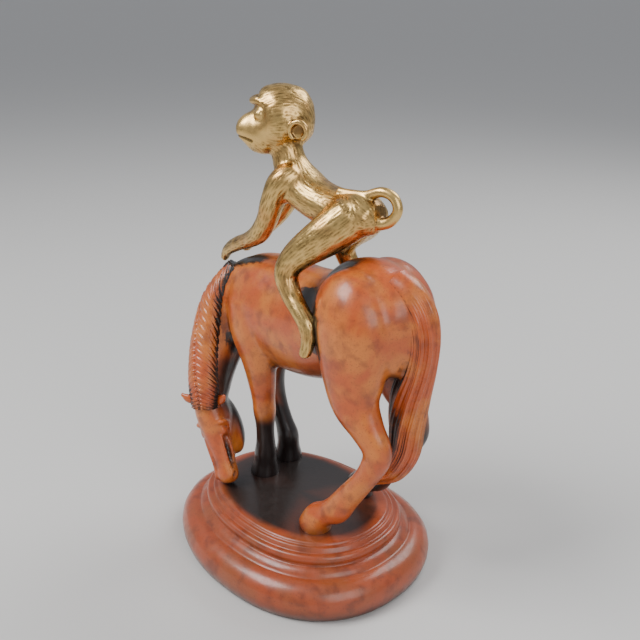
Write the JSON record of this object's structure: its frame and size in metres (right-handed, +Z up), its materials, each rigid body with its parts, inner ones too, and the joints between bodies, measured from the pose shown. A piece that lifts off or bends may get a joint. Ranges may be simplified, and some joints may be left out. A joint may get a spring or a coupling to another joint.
{
  "type": "monkey on horse figure",
  "caption": "Cast ornament of a monkey crouching on the back of a horse that lowers its head to the ground, on an oval moulded plinth. Stands on a shelf or table.",
  "frame": {"origin": "middle of the figure's box, on the surface that the plinth stands on", "axes": "+Z up, -X towards the horse's head end, +X towards its tail, -Y on the side where the horse's head hangs and the monkey looks"},
  "size_m": [0.1257, 0.095, 0.1994],
  "materials": {
    "dark_lacquer": "satin, red-brown patina with a black top and dark grooves",
    "red_lacquer": "satin, mottled orange-red patina, black in the hollows",
    "bright_brass": "soft polished, dark in the engraved fur"
  },
  "bodies": {
    "root": {"plinth": "dark_lacquer", "horse": "red_lacquer", "monkey": "bright_brass"}
  },
  "joints": []
}
